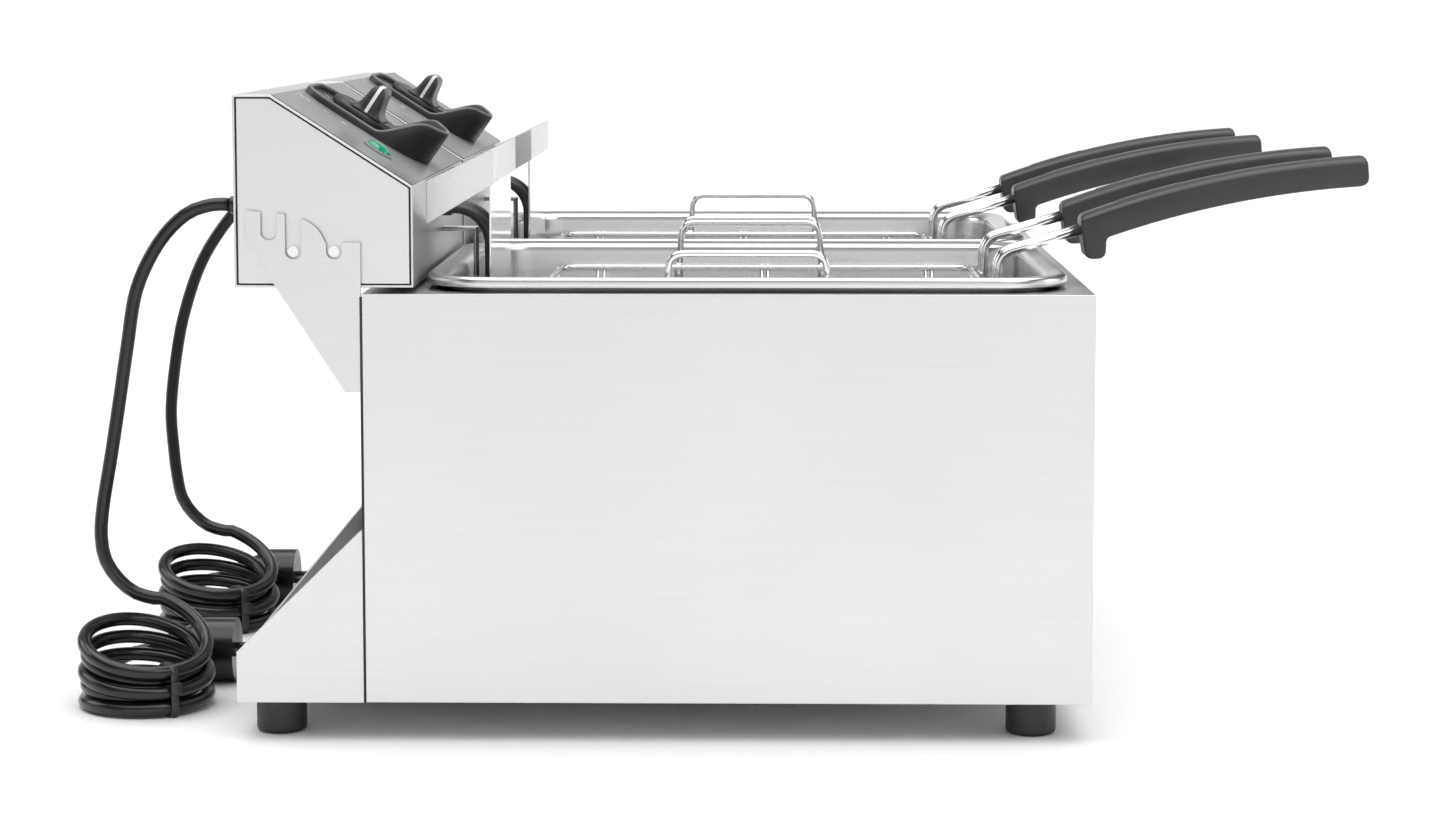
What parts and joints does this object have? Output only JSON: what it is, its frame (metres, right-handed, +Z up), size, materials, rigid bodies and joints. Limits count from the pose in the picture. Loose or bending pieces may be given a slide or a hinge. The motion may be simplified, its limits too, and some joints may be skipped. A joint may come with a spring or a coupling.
{
  "type": "deep fryer",
  "caption": "Countertop electric fryer with two pots, lift-up control heads, lift-out wire baskets and coiled power cords.",
  "frame": {"origin": "on the floor under the middle of the fryer without its cords", "axes": "+X to the user's right, +Y to the back, +Z up; the front is -Y"},
  "size_m": [0.56, 0.7444, 0.3586],
  "materials": {
    "brushed_steel": "brushed",
    "pot_steel": "satin",
    "wire_steel": "polished",
    "plated_steel": "plated",
    "black_plastic": "fine grain",
    "foot_rubber": "matte",
    "cord_rubber": "satin",
    "panel_foil": "satin",
    "green_lens": "gloss",
    "ceramic": "glazed",
    "heating_tube": "oxidised"
  },
  "bodies": {
    "fryer": {"casing": "brushed_steel", "rear_panel": "brushed_steel", "base_plate": "brushed_steel", "rear_stand": "brushed_steel", "left_bracket": "brushed_steel", "centre_bracket": "brushed_steel", "right_bracket": "brushed_steel", "feet": "foot_rubber", "foot_screws": "plated_steel", "left_pot": "pot_steel", "left_pot_handles": "wire_steel", "left_cord": "cord_rubber", "left_coil": "cord_rubber", "left_plug": "cord_rubber", "right_pot": "pot_steel", "right_pot_handles": "wire_steel", "right_cord": "cord_rubber", "right_coil": "cord_rubber", "right_plug": "cord_rubber"},
    "left_head": {"left_head_cover": "brushed_steel", "left_head_tray": "brushed_steel", "left_control_panel": "panel_foil", "left_knob_guard": "black_plastic", "left_lamp": "green_lens", "left_thermostat": "plated_steel", "left_limiter": "ceramic", "left_terminal_block": "ceramic", "left_element": "heating_tube", "left_hanger": "brushed_steel", "left_guard_plate": "brushed_steel", "left_pivot_pins": "plated_steel", "left_cord_gland": "cord_rubber"},
    "left_knob_turn": {"left_knob": "black_plastic"},
    "right_head": {"right_head_cover": "brushed_steel", "right_head_tray": "brushed_steel", "right_control_panel": "panel_foil", "right_knob_guard": "black_plastic", "right_lamp": "green_lens", "right_thermostat": "plated_steel", "right_limiter": "ceramic", "right_terminal_block": "ceramic", "right_element": "heating_tube", "right_hanger": "brushed_steel", "right_guard_plate": "brushed_steel", "right_pivot_pins": "plated_steel", "right_cord_gland": "cord_rubber"},
    "right_knob_turn": {"right_knob": "black_plastic"},
    "basket_set_a": {"basket_a": "wire_steel", "handle_a": "wire_steel", "grip_a": "black_plastic"},
    "basket_set_b": {"basket_b": "wire_steel", "handle_b": "wire_steel", "grip_b": "black_plastic"},
    "basket_set_c": {"basket_c": "wire_steel", "handle_c": "wire_steel", "grip_c": "black_plastic"},
    "basket_set_d": {"basket_d": "wire_steel", "handle_d": "wire_steel", "grip_d": "black_plastic"}
  },
  "joints": [
    {"name": "left_head_tilt", "type": "hinge", "parent": "fryer", "child": "left_head", "pos_m": [-0.142, 0.2813, 0.2715], "axis": [-1, 0, 0], "range_deg": [0, 90], "deforming": ["left_cord"]},
    {"name": "left_thermostat_knob", "type": "hinge", "parent": "left_head", "child": "left_knob_turn", "pos_m": [-0.142, 0.26115, 0.33585], "axis": [0, -0.5393, 0.8421], "range_deg": [-270, 0]},
    {"name": "right_head_tilt", "type": "hinge", "parent": "fryer", "child": "right_head", "pos_m": [0.142, 0.2813, 0.2715], "axis": [-1, 0, 0], "range_deg": [0, 90], "deforming": ["right_cord"]},
    {"name": "right_thermostat_knob", "type": "hinge", "parent": "right_head", "child": "right_knob_turn", "pos_m": [0.142, 0.26115, 0.33585], "axis": [0, -0.5393, 0.8421], "range_deg": [-270, 0]},
    {"name": "basket_a_lift", "type": "slide", "parent": "left_head", "child": "basket_set_a", "axis": [0, 0, 1], "range_m": [0, 0.15]},
    {"name": "basket_b_lift", "type": "slide", "parent": "left_head", "child": "basket_set_b", "axis": [0, 0, 1], "range_m": [0, 0.15]},
    {"name": "basket_c_lift", "type": "slide", "parent": "right_head", "child": "basket_set_c", "axis": [0, 0, 1], "range_m": [0, 0.15]},
    {"name": "basket_d_lift", "type": "slide", "parent": "right_head", "child": "basket_set_d", "axis": [0, 0, 1], "range_m": [0, 0.15]}
  ]
}
